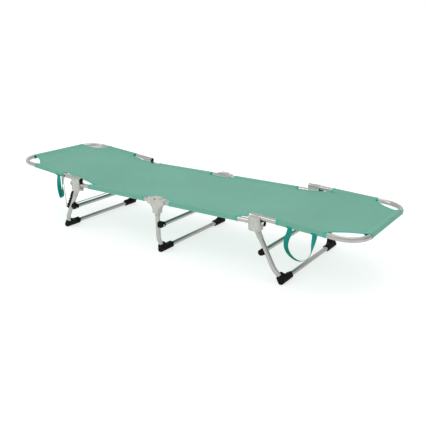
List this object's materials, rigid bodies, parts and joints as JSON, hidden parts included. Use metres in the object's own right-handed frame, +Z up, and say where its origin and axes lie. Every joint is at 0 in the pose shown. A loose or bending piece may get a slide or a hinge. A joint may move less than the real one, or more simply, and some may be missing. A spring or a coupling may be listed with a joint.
{
  "type": "folding cot",
  "caption": "Folding aluminium camp bed with a teal mesh sheet, hinged head and foot frames, folding U-legs and a wire stay that props the head end.",
  "frame": {"origin": "middle of the footprint, on the floor", "axes": "+X to the foot end, +Y to the far side (away from the carry straps), +Z up"},
  "size_m": [2.0028, 0.597, 0.3393],
  "materials": {
    "aluminium_tube": "satin extruded tube",
    "bracket_plastic": "light grey moulding",
    "black_plastic": "fine matte moulding",
    "steel_fastener": "zinc plated",
    "steel_wire": "zinc plated wire",
    "mesh_cloth": "coated open mesh",
    "webbing": "woven webbing"
  },
  "bodies": {
    "middle_frame": {"middle_rail_near": "aluminium_tube", "middle_rail_far": "aluminium_tube", "middle_rail_plugs": "black_plastic", "head_bracket_near": "bracket_plastic", "head_bracket_far": "bracket_plastic", "foot_bracket_near": "bracket_plastic", "foot_bracket_far": "bracket_plastic", "middle_bracket_near": "bracket_plastic", "middle_bracket_far": "bracket_plastic", "head_hinge_pins": "steel_fastener", "foot_hinge_pins": "steel_fastener", "leg_hinge_pins": "steel_fastener", "bracket_rivets": "steel_fastener", "middle_bracket_buttons": "black_plastic", "middle_sheet": "mesh_cloth"},
    "head_frame": {"head_frame_tube": "aluminium_tube", "head_tube_plugs": "black_plastic", "head_sheet": "mesh_cloth", "head_carry_strap": "webbing", "stay_bushes": "black_plastic"},
    "foot_frame": {"foot_frame_tube": "aluminium_tube", "foot_tube_plugs": "black_plastic", "foot_sheet": "mesh_cloth", "foot_carry_strap": "webbing"},
    "head_leg": {"head_leg_tube": "aluminium_tube", "head_leg_crossbar": "aluminium_tube", "head_leg_clips": "black_plastic", "head_leg_screws": "steel_fastener", "head_leg_socket_near": "bracket_plastic", "head_leg_socket_far": "bracket_plastic", "head_leg_boot_near": "black_plastic", "head_leg_boot_far": "black_plastic", "rack_near": "black_plastic", "rack_far": "black_plastic", "rack_screws": "steel_fastener"},
    "middle_leg": {"middle_leg_tube": "aluminium_tube", "middle_leg_crossbar": "aluminium_tube", "middle_leg_clips": "black_plastic", "middle_leg_screws": "steel_fastener", "middle_leg_socket_near": "bracket_plastic", "middle_leg_socket_far": "bracket_plastic", "middle_leg_boot_near": "black_plastic", "middle_leg_boot_far": "black_plastic"},
    "foot_leg": {"foot_leg_tube": "aluminium_tube", "foot_leg_crossbar": "aluminium_tube", "foot_leg_clips": "black_plastic", "foot_leg_screws": "steel_fastener", "foot_leg_socket_near": "bracket_plastic", "foot_leg_socket_far": "bracket_plastic", "foot_leg_boot_near": "black_plastic", "foot_leg_boot_far": "black_plastic"},
    "stay": {"backrest_stay": "steel_wire"}
  },
  "joints": [
    {"name": "head_fold", "type": "hinge", "parent": "middle_frame", "child": "head_frame", "pos_m": [-0.51469, 0, 0.283], "axis": [0, 1, 0], "range_deg": [0, 174]},
    {"name": "foot_fold", "type": "hinge", "parent": "middle_frame", "child": "foot_frame", "pos_m": [0.51331, 0, 0.283], "axis": [0, -1, 0], "range_deg": [0, 182]},
    {"name": "head_leg_fold", "type": "hinge", "parent": "middle_frame", "child": "head_leg", "pos_m": [-0.54069, 0, 0.231], "axis": [0, -1, 0], "range_deg": [0, 102]},
    {"name": "middle_leg_fold", "type": "hinge", "parent": "middle_frame", "child": "middle_leg", "pos_m": [-0.00069, 0, 0.231], "axis": [0, 1, 0], "range_deg": [0, 90]},
    {"name": "foot_leg_fold", "type": "hinge", "parent": "middle_frame", "child": "foot_leg", "pos_m": [0.53931, 0, 0.231], "axis": [0, 1, 0], "range_deg": [0, 102]},
    {"name": "stay_swing", "type": "hinge", "parent": "head_frame", "child": "stay", "pos_m": [-0.62421, 0, 0.29326], "axis": [0, 1, 0], "range_deg": [0, 93]}
  ]
}
